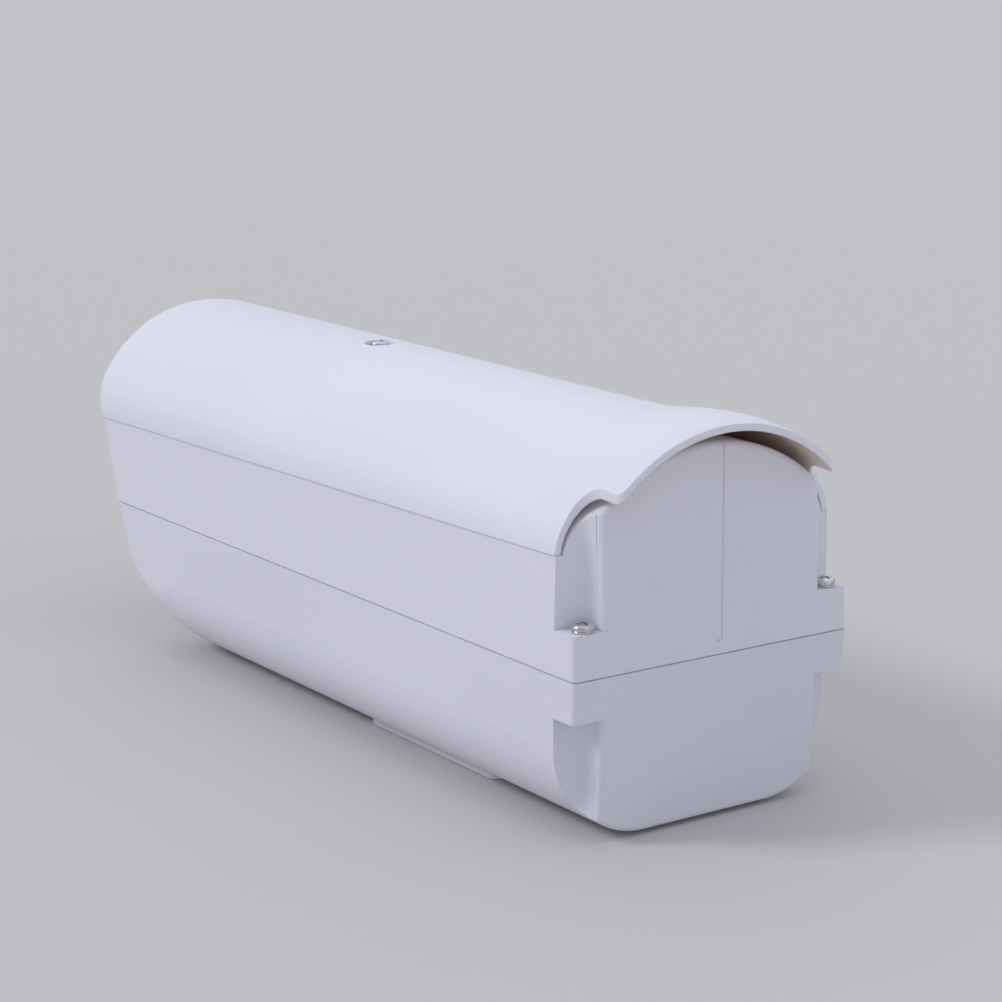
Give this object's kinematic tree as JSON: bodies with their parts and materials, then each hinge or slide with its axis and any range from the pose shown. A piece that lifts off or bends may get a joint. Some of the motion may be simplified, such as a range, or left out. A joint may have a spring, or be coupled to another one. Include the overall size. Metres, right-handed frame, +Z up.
{
  "type": "security camera housing",
  "caption": "Long outdoor camera housing: moulded tub with a mounting pad, hinged cover with a sunshield flared at the rear, window behind the hood, sliding camera sled.",
  "frame": {"origin": "centre of the mounting pad's face, on the underside of the tub", "axes": "+Y towards the rear wall, -Y towards the window end, +Z up, +X across"},
  "size_m": [0.126, 0.3746, 0.1485],
  "materials": {
    "tub_plastic": "fine satin white ABS",
    "cover_plastic": "fine satin white ABS",
    "shield_plastic": "fine satin white ABS",
    "panel_plastic": "fine satin black",
    "window_glass": "polished",
    "seal_rubber": "matte",
    "grommet_rubber": "matte",
    "sled_aluminium": "rolled sheet",
    "screw_steel": "bright stainless",
    "insert_brass": "turned"
  },
  "bodies": {
    "base": {"lower_shell": "tub_plastic", "cover_seal": "seal_rubber", "front_panel": "panel_plastic", "window_gasket": "seal_rubber", "window_glass": "window_glass", "window_retainer": "panel_plastic", "retainer_screw_1": "screw_steel", "retainer_screw_2": "screw_steel", "retainer_screw_3": "screw_steel", "retainer_screw_4": "screw_steel", "cover_insert_left": "insert_brass", "cover_insert_right": "insert_brass", "bracket_insert_1": "insert_brass", "bracket_insert_2": "insert_brass", "bracket_insert_3": "insert_brass", "bracket_insert_4": "insert_brass", "cable_grommet_left": "grommet_rubber", "cable_grommet_right": "grommet_rubber", "sled_insert_front": "insert_brass", "sled_insert_rear": "insert_brass", "sled_screw_front": "screw_steel", "sled_screw_rear": "screw_steel", "sled_washer_front": "screw_steel", "sled_washer_rear": "screw_steel"},
    "cover": {"upper_shell": "cover_plastic", "sunshield": "shield_plastic", "sunshield_screw": "screw_steel", "sunshield_washer": "screw_steel", "sunshield_insert": "insert_brass", "cover_screw_left": "screw_steel", "cover_screw_right": "screw_steel", "cover_washer_left": "screw_steel", "cover_washer_right": "screw_steel"},
    "sled": {"camera_sled": "sled_aluminium"},
    "camera_screw": {"camera_screw": "screw_steel", "camera_screw_washer": "screw_steel", "camera_screw_clip": "screw_steel"}
  },
  "joints": [
    {"name": "cover_hinge", "type": "hinge", "parent": "base", "child": "cover", "pos_m": [0, -0.215, 0.062], "axis": [1, 0, 0], "range_deg": [0, 65]},
    {"name": "sled_slide", "type": "slide", "parent": "base", "child": "sled", "axis": [0, 1, 0], "range_m": [-0.015, 0.015]},
    {"name": "camera_screw_slide", "type": "slide", "parent": "sled", "child": "camera_screw", "axis": [0, 1, 0], "range_m": [-0.02, 0.02]}
  ]
}
